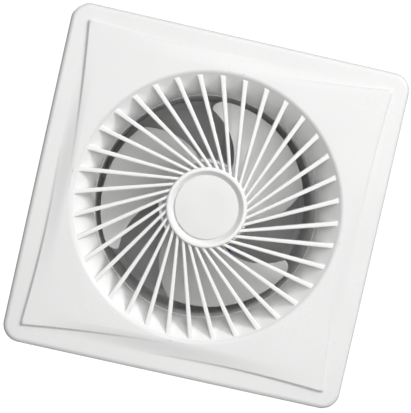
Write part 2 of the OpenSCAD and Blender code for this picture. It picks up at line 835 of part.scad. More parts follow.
// Bar that grips the supply cable against the flange
module cable_clamp() {
    mid_z = (cord_clamp_zs[0] + cord_clamp_zs[1]) / 2;
    color("white") difference() {
        union() {
            block(cord_clamp_x - 3, cord_clamp_x + 3, -10.6, -9, cord_clamp_zs[0], cord_clamp_zs[1]);
            for (z = cord_clamp_zs) translate([cord_clamp_x, 0, z]) rod(3, -10.6, -9);
            block(cord_clamp_x - 0.8, cord_clamp_x + 0.8, -9.1, -8.2, mid_z - 3, mid_z + 3);
        }
        for (z = cord_clamp_zs) translate([cord_clamp_x, 0, z]) rod(screw_r + 0.3, -12, -8);
    }
}

// Two screws of the cable clamp
module clamp_screws() {
    color("silver") for (z = cord_clamp_zs) pan_screw(cord_clamp_x, z, -10.6, 2.4, 1.8, 9.6);
}

// Rubber grommet for the supply cable
module cable_grommet() {
    color("black") translate([grommet_x, 0, grommet_z]) difference() {
        union() {
            rod(grommet_r, -flange_t, 0);
            rod(grommet_r + 1.6, -flange_t - 1.5, -flange_t);
        }
        rod(cable_d / 2, -flange_t - 3, 1);
    }
}

// Route of a motor lead: out of the motor, along an arm, through the channel and to its pole
function lead_side(a, side) = side * wire_pitch * [-sin(a), 0, cos(a)];
function lead_point(a, r, y, side) = polar(a, r, y) + lead_side(a, side);
function lead_route(side, pole_x) = [
    lead_point(310, 23, 31.4, side), lead_point(310, 30, 31.4, side), lead_point(310, 37, 31.4, side),
    lead_point(306, 44, 33.4, side), lead_point(300, 50, 35, side), lead_point(300, 57, 35, side),
    lead_point(303, 63, 35, side), lead_point(307, 69, 35, side), lead_point(308, 75.5, 35, side),
    lead_point(308, 76.3, 29, side), lead_point(308, 76.3, 16, side), lead_point(308, 76.3, 2, side),
    lead_point(308, 76.4, -5, side), [pole_x - 4, -7, -72], [pole_x, clamp_y, block_z1 + 7],
    [pole_x, clamp_y, block_z1 + 1], [pole_x, clamp_y, block_z1 - 6]
];

module live_lead() {
    color("saddlebrown") wire(rounded_route(lead_route(-1, pole_xs[0])), wire_r);
}

module neutral_lead() {
    color("royalblue") wire(rounded_route(lead_route(1, pole_xs[1])), wire_r);
}

// Rubber bush where the leads leave the motor
module lead_grommet() {
    color("black") turn(lead_turn + 2) translate([motor_r - 2, 31.4, 0]) rotate([0, 90, 0]) difference() {
        union() {
            cylinder(r = 2.95, h = 3);
            translate([0, 0, 2.05]) cylinder(r = 3.3, h = 0.95);
        }
        for (x = [-1, 1]) translate([x * wire_pitch, 0, -1]) cylinder(r = wire_r + 0.05, h = 5);
    }
}

// Clip that holds both leads on the front edge of an arm
module lead_clip() {
    color("black") turn(arm_turns[2]) difference() {
        block(52, 55.5, 33.2, 39.5, -3, 3);
        block(51, 56, bracket_front, 40, -arm_t / 2 - 0.05, arm_t / 2 + 0.05);
        block(51, 56, 34.05, bracket_front + 0.1, -2.05, 2.05);
    }
}

// Ring pushed into the back of the duct: seat for the flaps and bearings for their spindle
module shutter_frame() {
    boss_front = shutter_front + seat_t;
    color("dimgray") difference() {
        union() {
            sleeve(frame_r, frame_in_r, shutter_front, spigot_len);
            sleeve(spigot_r, frame_in_r, spigot_len, spigot_len + 1.5);
            sleeve(frame_r - 0.5, seat_r, shutter_front, boss_front);
            intersection() {
                rod(frame_r - 0.5, shutter_front, spigot_len);
                union() {
                    block(-knuckle_r - 2, knuckle_r + 2, shutter_front, boss_front, -bore_r, bore_r);
                    for (z = [-1, 1]) scale([1, 1, z]) {
                        block(-flap_notch_x - 2, flap_notch_x + 2, shutter_front, boss_front, boss_z - 3, bore_r);
                        block(-boss_w / 2, boss_w / 2, shutter_front, spindle_y + 3, boss_z, bore_r);
                    }
                }
            }
        }
        translate([0, spindle_y, -bore_r]) cylinder(r = spindle_r, h = 2 * bore_r);
    }
}

// Steel spindle of the flaps, upright
module shutter_spindle() {
    color("silver") translate([0, spindle_y, -frame_in_r]) cylinder(r = spindle_r, h = 2 * frame_in_r);
}

// Half disc with two knuckles on the spindle, on the +X side
module flap(own, other) {
    difference() {
        union() {
            slab(flap_front, flap_front + flap_t) difference() {
                circle(flap_r);
                translate([-100, -100]) square([100.3, 200]);
                for (z = [-1, 1]) translate([0, z * (boss_z + 49)]) square([2 * flap_notch_x, 100], center = true);
                translate([0, -leg_z - 1.5]) square([knuckle_r + 0.6, 2 * leg_z + 3]);
                for (z = other) translate([0, z - 0.5]) square([knuckle_r + 0.6, knuckle_w + 1]);
            }
            for (z = own) translate([0, spindle_y, z]) cylinder(r = knuckle_r, h = knuckle_w);
            block(20, 22, flap_front + flap_t - 0.1, flap_front + flap_t + 1.6, -46, 46);
        }
        for (z = own) translate([0, spindle_y, z - 1]) cylinder(r = spindle_r + knuckle_fit, h = knuckle_w + 2);
    }
}

module shutter_flap_right() {
    color("gray") flap(right_knuckles, left_knuckles);
}

module shutter_flap_left() {
    color("gray") mirror([1, 0, 0]) flap(left_knuckles, right_knuckles);
}

// Coil of the closing spring round the spindle
module shutter_spring() {
    steps = 12;
    color("silver") wire([for (k = [0:spring_turns * steps])
        [spring_r * cos(360 * k / steps), spindle_y + spring_r * sin(360 * k / steps),
            spring_half * (2 * k / (spring_turns * steps) - 1)]], spring_wire_r, 6);
}

// Straight end of the spring that presses on the back of a flap
module spring_leg(z) {
    color("silver") wire([[0, spindle_y + spring_r, z], [leg_reach / 2, spindle_y - 0.2, z],
        [leg_reach, flap_front + flap_t + spring_wire_r, z]], spring_wire_r, 6);
}

module spring_leg_right() {
    spring_leg(leg_z);
}

module spring_leg_left() {
    mirror([1, 0, 0]) spring_leg(-leg_z);
}

front_panel();
swirl_grille();
hub_cap();
wall_flange();
duct_tube();
wall_gasket();
motor_bracket();
bracket_screws();
motor_front_shell();
motor_rear_shell();
stator_core();
coil_bobbins();
stator_coils();
shading_rings();
front_bush();
rear_bush();
front_oil_felt();
rear_oil_felt();
front_bush_retainer();
rear_bush_retainer();
thermal_fuse();
motor_through_screws();
motor_fixing_screws();
motor_shaft();
rotor_core();
rotor_cage();
thrust_washers();
shaft_clips();
impeller();
impeller_clip();
terminal_block();
terminal_clamps();
terminal_screws();
block_screws();
terminal_cover();
cover_screw();
cable_clamp();
clamp_screws();
cable_grommet();
live_lead();
neutral_lead();
lead_grommet();
lead_clip();
shutter_frame();
shutter_spindle();
shutter_flap_left();
shutter_flap_right();
shutter_spring();
spring_leg_left();
spring_leg_right();
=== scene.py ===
"""Bathroom extractor fan, 150 mm class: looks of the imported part, in metres.

The front faces -Y, +Z is up, and the fan axis is the Y axis. The wall face is y = 0.
"""

import math

import bmesh
import bpy
import numpy as np
from mathutils import Matrix, Vector


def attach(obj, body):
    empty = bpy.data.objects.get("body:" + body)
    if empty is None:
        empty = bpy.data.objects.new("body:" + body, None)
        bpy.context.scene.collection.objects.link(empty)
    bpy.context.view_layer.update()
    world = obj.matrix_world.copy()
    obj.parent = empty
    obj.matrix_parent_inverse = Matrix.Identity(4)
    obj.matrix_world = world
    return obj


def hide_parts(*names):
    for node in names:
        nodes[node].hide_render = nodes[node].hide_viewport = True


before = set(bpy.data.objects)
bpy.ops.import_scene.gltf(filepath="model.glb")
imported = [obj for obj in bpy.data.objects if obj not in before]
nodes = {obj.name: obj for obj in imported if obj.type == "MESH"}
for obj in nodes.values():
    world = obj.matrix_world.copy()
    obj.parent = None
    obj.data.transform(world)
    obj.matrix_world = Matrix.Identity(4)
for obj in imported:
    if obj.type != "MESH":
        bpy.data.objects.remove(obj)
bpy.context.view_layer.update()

# ---------------------------------------------------------------- faceplate
# The square front cover, one ABS moulding with a skirt that reaches back to the wall.
# Its middle is a raised pillow whose outline turns like a pinwheel: on each side a crease
# leaves both corners and fades out before it meets the other. It hooks on by four tongues, not built here.
MM = 0.001
PANEL_HALF = 110.0
PANEL_CORNER = 11.5
SHARPEST_CORNER = 0.6
RIM_FRONT = -22.0
PILLOW_RISE = 2.0
PLATE_WALL = 2.4
SKIRT_BACK = -1.0
SKIRT_WALL = 2.4
OPENING_R = 84.8
LIP_ROUND = 4.3
LIP_TURN = math.radians(39.8)
EDGE_ROUND = 3.0
CREASE_START = 10.2
CREASE_BOW = 3.1
CREASE_BOW_END = 0.66
CREASE_LEAN = 31.0
CREASE_CURL = 20.0
CREASE_HOLD = 0.05
FIRST_FADE = 0.58
LAST_FADE = 0.46
GENTLE_WIDTH = 12.5
STEP_WIDTH = 1.5


class Wire:
    """A shader socket that takes part in Python sums; each operator adds a Math node."""

    def __init__(self, finish, socket):
        self.finish = finish
        self.socket = socket

    def math(self, operation, *values):
        return self.finish.put("ShaderNodeMath", {"operation": operation}, dict(enumerate(values)))

    def __add__(self, other):
        return self.math("ADD", self, other)

    def __radd__(self, other):
        return self.math("ADD", other, self)

    def __sub__(self, other):
        return self.math("SUBTRACT", self, other)

    def __rsub__(self, other):
        return self.math("SUBTRACT", other, self)

    def __mul__(self, other):
        return self.math("MULTIPLY", self, other)

    def __rmul__(self, other):
        return self.math("MULTIPLY", other, self)

    def clipped(self):
        return self.math("MINIMUM", self.math("MAXIMUM", self, 0.0), 1.0)

    def sine(self):
        return self.math("SINE", self)

    def root(self):
        return self.math("SQRT", self)


class Finish:
    """A node material in the making. Keyword values are set on the shader's own sockets."""

    def __init__(self, name, **fixed):
        self.material = bpy.data.materials.new(name)
        self.material.use_nodes = True
        self.tree = self.material.node_tree
        self.shader = self.tree.nodes["Principled BSDF"]
        for socket, value in fixed.items():
            self.shader.inputs[socket.replace("_", " ")].default_value = value

    def put(self, kind, settings=None, sockets=None, out=0):
        node = self.tree.nodes.new(kind)
        for key, value in (settings or {}).items():
            setattr(node, key, value)
        for key, value in (sockets or {}).items():
            self.feed(node.inputs[key], value)
        return Wire(self, node.outputs[out])

    def feed(self, socket, value):
        if isinstance(value, Wire):
            self.tree.links.new(value.socket, socket)
        elif isinstance(socket.default_value, (int, float)) or isinstance(value, tuple):
            socket.default_value = value
        else:
            socket.default_value = [value] * len(socket.default_value)

    def drive(self, **sockets):
        for name, value in sockets.items():
            self.feed(self.shader.inputs[name.replace("_", " ")], value)
        return self.material

    def place(self, stretch=(1.0, 1.0, 1.0)):
        where = self.put("ShaderNodeTexCoord", out="Object")
        if stretch == (1.0, 1.0, 1.0):
            return where
        return self.put("ShaderNodeMapping", None, {"Vector": where, "Scale": stretch})

    def noise(self, grain, where=None, detail=3.0):
        """Noise from 0 to 1 whose lumps are about grain millimetres across."""
        sockets = {"Vector": where or self.place(), "Scale": 1.0 / (grain * MM),
                   "Detail": detail, "Roughness": 0.55}
        return self.put("ShaderNodeTexNoise", None, sockets)

    def shade(self, factor, first, second):
        """A colour that goes from first to second as factor goes from 0 to 1."""
        return self.put("ShaderNodeMix", {"data_type": "RGBA"},
                        {0: factor, 6: (*first, 1.0), 7: (*second, 1.0)}, out=2)

    def relief(self, height, depth, edge=0.0):
        """A bump of depth millimetres, over edges that look edge millimetres round."""
        sockets = {"Height": height, "Distance": depth * MM, "Strength": 1.0}
        if edge:
            sockets["Normal"] = self.put("ShaderNodeBevel", {"samples": 3}, {"Radius": edge * MM})
        return self.put("ShaderNodeBump", None, sockets)


def moulded(name, colour, gloss=0.36, grain=0.5, depth=0.006, edge=0.0, mottle=0.05, **fixed):
    """Injection-moulded plastic: faint flow marks, a fine texture and slightly uneven gloss."""
    finish = Finish(name, **{"IOR": 1.5, **fixed})
    flow = finish.noise(38.0, detail=4.0)
    fine = finish.noise(grain, detail=2.0)
    sink = finish.noise(9.0, detail=2.0)
    darker = tuple(c * (1.0 - mottle) for c in colour)
    return finish.drive(
        Base_Color=finish.shade((flow - 0.35) * 2.2 + (fine - 0.5) * 0.3, colour, darker),
        Roughness=gloss + (flow - 0.5) * 0.16 + (fine - 0.5) * 0.10,
        Normal=finish.relief(fine + sink * 1.5, depth, edge),
    )


def rounded(points, sweep=5):
    """A polyline of (radius, y, fillet) rows as points, each corner cut to an arc of that fillet."""
    out = []
    count = len(points)
    for i, (r, y, fillet) in enumerate(points):
        here = Vector((r, y))
        if fillet <= 0:
            out.append(here)
            continue
        before = Vector(points[i - 1][:2]) - here
        after = Vector(points[(i + 1) % count][:2]) - here
        half = before.angle(after) / 2
        reach = min(fillet / math.tan(half), before.length * 0.49, after.length * 0.49)
        start = here + before.normalized() * reach
        end = here + after.normalized() * reach
        for k in range(sweep + 1):
            t = k / sweep
            out.append(start * (1 - t) ** 2 + here * 2 * t * (1 - t) + end * t ** 2)
    return out


def solid(name, verts, faces, material, smooth=40.0):
    """A mesh object from millimetre points; faces wind outwards; edges over smooth degrees are sharp."""
    mesh = bpy.data.meshes.new(name)
    mesh.from_pydata([tuple(c * MM for c in v) for v in verts], [], faces)
    mesh.materials.append(material)
    mesh.validate()
    mesh.polygons.foreach_set("use_smooth", [True] * len(mesh.polygons))
    mesh.set_sharp_from_angle(angle=math.radians(smooth))
    piece = bpy.data.objects.new(name, mesh)
    bpy.context.scene.collection.objects.link(piece)
    return piece


def outward(piece):
    """Turns a closed piece's faces so that they point out of it, and merges doubled points."""
    work = bmesh.new()
    work.from_mesh(piece.data)
    bmesh.ops.remove_doubles(work, verts=work.verts, dist=0.00001)
    bmesh.ops.recalc_face_normals(work, faces=work.faces)
    work.to_mesh(piece.data)
    work.free()
    return piece


def belt(rows, closed=True):
    """Quads between successive rings of points, all with the same count; closed joins last to first."""
    count = len(rows[0])
    verts = [v for row in rows for v in row]
    faces = []
    for i in range(len(rows) if closed else len(rows) - 1):
        a, b = i * count, ((i + 1) % len(rows)) * count
        for j in range(count):
            k = (j + 1) % count
            faces.append((a + j, a + k, b + k, b + j))
    return verts, faces


def square_radius(turn, inset):
    """Distance from the axis to the panel's outline, set in by inset, in the direction turn."""
    half = PANEL_HALF - inset
    corner = max(PANEL_CORNER - inset, SHARPEST_CORNER)
    c, s = abs(math.cos(turn)), abs(math.sin(turn))
    reach = half / max(c, s)
    x, z = reach * c, reach * s
    core = half - corner
    if x > core and z > core:
        along = core * (c + s)
        reach = along + math.sqrt(max(along ** 2 - (2 * core ** 2 - corner ** 2), 0.0))
    return reach


def ease(t):
    """A smooth step from 0 to 1 as t goes from 0 to 1."""
    t = min(max(t, 0.0), 1.0)
    return t * t * (3 - 2 * t)


def side_rise(t, d):
    """Height from 0 to 1 of the pillow, t along a side going clockwise and d in from its edge."""
    t = min(max(t, 0.0), 1.0)
    first = CREASE_START + CREASE_BOW * math.sin(math.pi * min(t / CREASE_BOW_END, 1.0))
    back = 1 - t
    last = CREASE_START + CREASE_LEAN * back - CREASE_CURL * back * back
    hold_first = 1 - ease((t - CREASE_HOLD) / FIRST_FADE)
    hold_last = 1 - ease((back - CREASE_HOLD) / LAST_FADE)
    total = max(hold_first + hold_last, 1.0)
    hold_first, hold_last = hold_first / total, hold_last / total
    gentle = ease((d - CREASE_START - 0.5) / GENTLE_WIDTH)
    return (hold_first * ease((d - first) / STEP_WIDTH + 0.5)
            + hold_last * ease((d - last) / STEP_WIDTH + 0.5)
            + (1 - hold_first - hold_last) * gentle)


def pillow(x, z):
    """The y of the cover's front face at x, z, before its edges are rounded."""
    full = 2 * PANEL_HALF
    rise = 1.0
    for along, inward in ((x, z), (-z, x), (-x, -z), (z, -x)):
        rise *= side_rise((along + PANEL_HALF) / full, PANEL_HALF - inward)
    return RIM_FRONT - PILLOW_RISE * rise


COLUMNS = 720
turns = [2 * math.pi * j / COLUMNS for j in range(COLUMNS)]


def outline(inset, y):
    """The panel's outline, set in by inset, as a ring of points at one y."""
    return [(square_radius(a, inset) * math.cos(a), y, square_radius(a, inset) * math.sin(a))
            for a in turns]


rows = [outline(SKIRT_WALL, SKIRT_BACK), outline(SKIRT_WALL - 0.5, SKIRT_BACK),
        outline(0.5, SKIRT_BACK), outline(0.15, SKIRT_BACK - 0.15), outline(0.0, SKIRT_BACK - 0.5)]
rows += [outline(0.0, y) for y in (-7.0, -13.0, RIM_FRONT + EDGE_ROUND)]
for k in range(1, 9):
    a = math.pi / 2 * k / 8
    rows.append(outline(EDGE_ROUND * (1 - math.cos(a)), RIM_FRONT + EDGE_ROUND * (1 - math.sin(a))))
for inset in [*np.linspace(EDGE_ROUND + 0.7, 9.0, 8), *np.linspace(9.35, 22.6, 37)]:
    rows.append([(x, pillow(x, z), z) for x, y, z in outline(inset, 0)])
edge_row = rows[-1]
lip_start = OPENING_R + LIP_ROUND * math.sin(LIP_TURN)
for k in range(1, 11):
    t = k / 10
    ring = []
    for a, (x, y, z) in zip(turns, edge_row):
        r = math.hypot(x, z) * (1 - t) + lip_start * t
        ring.append((r * math.cos(a), pillow(r * math.cos(a), r * math.sin(a)), r * math.sin(a)))
    rows.append(ring)
for k in range(1, 8):
    a = LIP_TURN * k / 7
    r = lip_start - LIP_ROUND * math.sin(a)
    drop = LIP_ROUND * (1 - math.cos(a))
    rows.append([(r * math.cos(q), pillow(lip_start * math.cos(q), lip_start * math.sin(q)) + drop,
                  r * math.sin(q)) for q in turns])
plate_back = RIM_FRONT + PLATE_WALL
for r in (OPENING_R, OPENING_R + 6):
    rows.append([(r * math.cos(q), plate_back, r * math.sin(q)) for q in turns])
rows.append(outline(SKIRT_WALL + 1.5, plate_back))
rows.append(outline(SKIRT_WALL, plate_back + 1.5))

WHITE_ABS = (0.704, 0.704, 0.700)
panel_white = moulded("panel_white_abs", WHITE_ABS, gloss=0.30, grain=0.7, depth=0.004, mottle=0.025,
                      Coat_Weight=0.15, Coat_Roughness=0.2)
faceplate = outward(solid("faceplate", *belt(rows), panel_white, smooth=50.0))
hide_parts("front_panel")
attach(faceplate, "front_set")


def turned_copies(name):
    """A node tree that repeats a piece round the fan axis, anticlockwise seen from the front."""
    tree = bpy.data.node_groups.new(name, "GeometryNodeTree")
    for label, kind in (("One piece", "NodeSocketGeometry"), ("Count", "NodeSocketInt"),
                        ("First turn", "NodeSocketFloat"), ("Material", "NodeSocketMaterial")):
        tree.interface.new_socket(label, in_out="INPUT", socket_type=kind)
    tree.interface.new_socket("All pieces", in_out="OUTPUT", socket_type="NodeSocketGeometry")
    add, join = tree.nodes.new, tree.links.new
    given, result = add("NodeGroupInput"), add("NodeGroupOutput")
    line, index = add("GeometryNodeMeshLine"), add("GeometryNodeInputIndex")
    line.inputs["Offset"].default_value = (0, 0, 0)
    join(given.outputs["Count"], line.inputs["Count"])
    share, turn, sign = add("ShaderNodeMath"), add("ShaderNodeMath"), add("ShaderNodeMath")
    share.operation, turn.operation, sign.operation = "DIVIDE", "MULTIPLY_ADD", "MULTIPLY"
    join(index.outputs[0], share.inputs[0])
    join(given.outputs["Count"], share.inputs[1])
    join(share.outputs[0], turn.inputs[0])
    turn.inputs[1].default_value = 2 * math.pi
    join(given.outputs["First turn"], turn.inputs[2])
    join(turn.outputs[0], sign.inputs[0])
    sign.inputs[1].default_value = -1.0
    angles, copies = add("ShaderNodeCombineXYZ"), add("GeometryNodeInstanceOnPoints")
    join(sign.outputs[0], angles.inputs["Y"])
    join(line.outputs[0], copies.inputs["Points"])
    join(given.outputs["One piece"], copies.inputs["Instance"])
    join(angles.outputs[0], copies.inputs["Rotation"])
    real, paint = add("GeometryNodeRealizeInstances"), add("GeometryNodeSetMaterial")
    join(copies.outputs[0], real.inputs[0])
    join(real.outputs[0], paint.inputs["Geometry"])
    join(given.outputs["Material"], paint.inputs["Material"])
    join(paint.outputs[0], result.inputs[0])
    return tree


ring_tree = turned_copies("copies_round_the_axis")


def repeat_round(piece, count, first_turn, material):
    """The piece repeated count times round the fan axis, made a plain mesh."""
    modifier = piece.modifiers.new("copies", "NODES")
    modifier.node_group = ring_tree
    values = {"Count": count, "First turn": math.radians(first_turn), "Material": material}
    for item in ring_tree.interface.items_tree:
        if item.in_out == "INPUT" and item.name in values:
            modifier[item.identifier] = values[item.name]
    return flattened(piece)


def flattened(piece):
    """Turns the evaluated piece into its own plain mesh and drops its modifiers."""
    bpy.context.view_layer.update()
    ready = piece.evaluated_get(bpy.context.evaluated_depsgraph_get())
    mesh = bpy.data.meshes.new_from_object(ready)
    mesh.name = piece.name
    piece.modifiers.clear()
    piece.data = mesh
    return piece


# ---------------------------------------------------------------- grille bell and hub ring
# The round grille, moulded in the same white ABS and clipped behind the opening. Its bell mouth
# leads the air from the opening down to the throat, and its hub ring carries the pressed cap.
MOUTH_R = 84.8
MOUTH_Y = -23.0
THROAT_R = 72.6
THROAT_Y = -5.0
BELL_CURL = 1.4
BELL_WALL = 1.6
BELL_FLANGE_R = 90.0


def bell_radius(y):
    """Inner radius of the bell mouth at y."""
    t = (y - MOUTH_Y) / (THROAT_Y - MOUTH_Y)
    return (1 - t) ** 2 * MOUTH_R + 2 * t * (1 - t) * (THROAT_R + BELL_CURL) + t * t * THROAT_R


def revolved(name, profile, material, columns=256, smooth=40.0):
    """A closed profile of (radius, y) points turned round the fan axis."""
    ring = [[(max(r, 0.0) * math.cos(2 * math.pi * j / columns), y,
              max(r, 0.0) * math.sin(2 * math.pi * j / columns)) for j in range(columns)]
            for r, y in profile]
    return outward(solid(name, *belt(ring), material, smooth))


grille_white = moulded("grille_white_abs", (0.78, 0.78, 0.775), gloss=0.34, grain=0.6, depth=0.004,
                       mottle=0.03)
inner = [(bell_radius(y), y) for y in np.linspace(MOUTH_Y, THROAT_Y, 26)]
outer = [(bell_radius(y) + BELL_WALL, y) for y in np.linspace(THROAT_Y, plate_back + BELL_WALL, 16)]
bell_profile = inner + outer + [(BELL_FLANGE_R, plate_back + BELL_WALL), (BELL_FLANGE_R, plate_back),
                                (MOUTH_R, plate_back)]
grille_bell = revolved("grille_bell_mouth", bell_profile, grille_white, columns=300)

HUB_R = 25.8
HUB_FRONT = -24.0
HUB_BACK = -13.0
HUB_FLOOR = -20.6
HUB_FLOOR_BACK = -18.6
STUD_HOLE_R = 3.3
hub_profile = rounded([
    (HUB_R, HUB_BACK, 0.3), (HUB_R, HUB_FRONT, 1.5), (23.3, HUB_FRONT, 0.9), (20.75, HUB_FLOOR, 0.4),
    (STUD_HOLE_R, HUB_FLOOR, 0.2), (STUD_HOLE_R, HUB_FLOOR_BACK, 0.2), (23.6, HUB_FLOOR_BACK, 1.2),
    (24.0, HUB_BACK, 0.3)])
hub_ring = revolved("grille_hub_ring", hub_profile, grille_white, columns=200)
for piece in (grille_bell, hub_ring):
    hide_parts("swirl_grille")
    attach(piece, "front_set")

# ---------------------------------------------------------------- grille bars
# Thirty-six straight bars run from the hub ring to the bell mouth. Each one is tangent to a
# circle inside the hub, so the set swirls; each widens outwards and flares where it joins.
BAR_COUNT = 36
BAR_FIRST_TURN = 7.0
BAR_OFFSET = 16.5
BAR_FRONT = -22.6
BAR_BACK = -14.6
BAR_TIP_W = 3.2
BAR_ROOT_W = 1.9
BAR_FLARE = 0.9
FLARE_START = 0.93
BAR_DRAFT = 0.82


def bar_section(width):
    """Outline of a bar across its length as (sideways, y): round front edges and a slight draft."""
    half, back = width / 2, width / 2 * BAR_DRAFT
    return rounded([(half, BAR_FRONT, 0.62), (-half, BAR_FRONT, 0.62), (-back, BAR_BACK, 0.25),
                    (back, BAR_BACK, 0.25)], sweep=3)


root_x = math.sqrt((HUB_R - 0.6) ** 2 - BAR_OFFSET ** 2)
stations = [*np.linspace(0.0, 0.9, 10), FLARE_START, 0.955, 0.975, 0.99, 1.0]
bar_rows = []
for s in stations:
    flare = BAR_FLARE * max(0.0, (s - FLARE_START) / (1 - FLARE_START)) ** 2
    row = []
    for side, y in bar_section(BAR_ROOT_W + (BAR_TIP_W - BAR_ROOT_W) * s + flare):
        tip_x = math.sqrt((bell_radius(max(y, MOUTH_Y)) + 0.7) ** 2 - BAR_OFFSET ** 2)
        row.append((root_x + (tip_x - root_x) * s, y, side - BAR_OFFSET))
    bar_rows.append(row)
bar_verts, bar_faces = belt(bar_rows, closed=False)
ring_size = len(bar_rows[0])
bar_faces += [tuple(range(ring_size)), tuple(range(len(bar_verts) - ring_size, len(bar_verts)))]
grille_bars = outward(solid("grille_bars", bar_verts, bar_faces, grille_white, smooth=55.0))
repeat_round(grille_bars, BAR_COUNT, BAR_FIRST_TURN, grille_white)
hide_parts("swirl_grille")
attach(grille_bars, "front_set")

# ---------------------------------------------------------------- hub cap
# A plain ABS disc with a softened edge, pressed by its stud into the floor of the hub ring.
# It sits a little below the rim, so the ring's sloping wall frames it.
CAP_R = 20.4
CAP_BACK = -20.62
STUD_END = -16.9
cap_white = moulded("cap_white_abs", (0.71, 0.71, 0.705), gloss=0.33, grain=0.5, depth=0.004)
cap_profile = rounded([
    (0.0, -22.25, 0), (12.0, -22.22, 3.0), (CAP_R - 0.1, -22.0, 0.5), (CAP_R, CAP_BACK, 0.15),
    (3.0, CAP_BACK, 0.1), (2.9, STUD_END, 0.4), (0.0, STUD_END, 0)])
hub_cap = revolved("hub_cap_disc", cap_profile, cap_white, columns=160)
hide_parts("hub_cap")
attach(hub_cap, "front_set")

# ---------------------------------------------------------------- impeller
# Three broad swept blades on a cup-shaped hub, one polypropylene moulding. The leading corner of
# each blade is a rounded horn. The hub cup covers the motor, and its boss takes the shaft.
HUB_CUP_R = 28.7
CUP_IN_R = 26.9
CUP_BACK = 23.8
BOSS_R = 6.0
BOSS_HOLE_R = 2.55
BLADE_COUNT = 3
TIP_R = 70.0
BLADE_TURN = -53.5
BLADE_CHORD = 80.0
BLADE_SWEEP = 32.0
BLADE_T = 1.6
BLADE_FRONT = 2.4
BLADE_RISE = 19.4
BLADE_CAMBER = 1.1
CHORD_STEPS = 54
SPAN_STEPS = 26


def corner_cut(distance, reach, depth):
    """How far a blade's rim is drawn in near a corner, as a quarter of an ellipse."""
    k = max(0.0, 1 - distance / reach)
    return depth * (1 - math.sqrt(max(1 - k * k, 0.0)))


def blade_point(u, s, lift):
    """A point of the first blade: u along the chord from the leading edge, s from hub to tip."""
    tip = TIP_R - 0.3 - 3 * u - corner_cut(u, 0.10, 6.5) - corner_cut(1 - u, 0.06, 4.5)
    radius = HUB_CUP_R - 1 + s * (tip - HUB_CUP_R + 1)
    angle = BLADE_TURN + BLADE_SWEEP * s ** (1.28 - 0.08 * u) - u * BLADE_CHORD
    camber = BLADE_CAMBER * math.sin(math.pi * u) * s
    a = math.radians(angle)
    return (radius * math.cos(a), BLADE_FRONT + BLADE_RISE * u - camber + lift, radius * math.sin(a))


def chord_place(i):
    """Where step i lies along the chord, with the steps closer together at both ends."""
    t = i / CHORD_STEPS
    return t * t * (3 - 2 * t) * 0.6 + t * 0.4


grid = {}
blade_verts, blade_faces = [], []
for layer, lift in enumerate((0.0, BLADE_T)):
    for i in range(CHORD_STEPS + 1):
        for k in range(SPAN_STEPS + 1):
            grid[layer, i, k] = len(blade_verts)
            blade_verts.append(blade_point(chord_place(i), k / SPAN_STEPS, lift))
for i in range(CHORD_STEPS):
    for k in range(SPAN_STEPS):
        for layer in (0, 1):
            quad = [grid[layer, i, k], grid[layer, i, k + 1], grid[layer, i + 1, k + 1],
                    grid[layer, i + 1, k]]
            blade_faces.append(tuple(quad if layer == 0 else quad[::-1]))
rim = ([(i, 0) for i in range(CHORD_STEPS)] + [(CHORD_STEPS, k) for k in range(SPAN_STEPS)]
       + [(i, SPAN_STEPS) for i in range(CHORD_STEPS, 0, -1)] + [(0, k) for k in range(SPAN_STEPS, 0, -1)])
for (i, k), (m, n) in zip(rim, rim[1:] + rim[:1]):
    blade_faces.append((grid[0, i, k], grid[0, m, n], grid[1, m, n], grid[1, i, k]))
impeller_white = moulded("impeller_polypropylene", (0.80, 0.80, 0.79), gloss=0.26, grain=0.9,
                        depth=0.006, mottle=0.05)
blades = outward(solid("impeller_blades", blade_verts, blade_faces, impeller_white, smooth=30.0))
soft_edge = blades.modifiers.new("rounded edges", "BEVEL")
soft_edge.width = 0.55 * MM
soft_edge.segments = 3
soft_edge.limit_method = "ANGLE"
soft_edge.angle_limit = math.radians(50)
flattened(blades)
repeat_round(blades, BLADE_COUNT, 0.0, impeller_white)

cup_profile = rounded([
    (BOSS_HOLE_R, 3.0, 0.2), (BOSS_R, 3.0, 0.4), (8.0, 1.3, 1.0), (24.0, 1.0, 2.0),
    (HUB_CUP_R, 2.6, 2.4), (HUB_CUP_R, CUP_BACK, 0.4), (CUP_IN_R, CUP_BACK, 0.4), (CUP_IN_R, 5.0, 1.6),
    (22.0, 3.2, 1.0), (BOSS_R, 3.2, 0.8), (BOSS_R, CUP_BACK, 0.3), (BOSS_HOLE_R, CUP_BACK, 0.2)])
hub_cup = revolved("impeller_hub_cup", cup_profile, impeller_white, columns=160)
for piece in (blades, hub_cup):
    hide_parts("impeller")
    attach(piece, "rotor")


def paint(material, *names):
    """Gives a CAD node's own surface a finish; its shape and place stay as they are."""
    for name in names:
        for i in range(len(nodes[name].data.materials)):
            nodes[name].data.materials[i] = material


paint(moulded("housing_abs", (0.82, 0.82, 0.815), gloss=0.40, grain=0.7, depth=0.006, edge=0.45,
              mottle=0.04), "wall_flange", "duct_tube")

GASKET_IN_R = 82.0
GASKET_OUT_R = 86.5
GASKET_T = 1.2
GASKET_SQUEEZE = 0.12
foam = Finish("closed_cell_foam", Sheen_Weight=0.3, Sheen_Roughness=0.6)
cells = foam.put("ShaderNodeTexVoronoi", {"feature": "DISTANCE_TO_EDGE"},
                 {"Vector": foam.place(), "Scale": 1500.0})
dust = foam.noise(2.5)
foam.drive(Base_Color=foam.shade(dust, (0.045, 0.045, 0.047), (0.085, 0.083, 0.08)),
           Roughness=0.85 + (dust - 0.5) * 0.2, Normal=foam.relief((cells * 4.0).clipped(), 0.10))
gasket_profile = rounded([
    (GASKET_IN_R, -GASKET_T, 0.25), (GASKET_IN_R, -GASKET_SQUEEZE, 0.3), (GASKET_IN_R + 1.5, 0.0, 0.6),
    (GASKET_OUT_R - 1.5, 0.0, 0.6), (GASKET_OUT_R, -GASKET_SQUEEZE, 0.3),
    (GASKET_OUT_R, -GASKET_T, 0.25)])
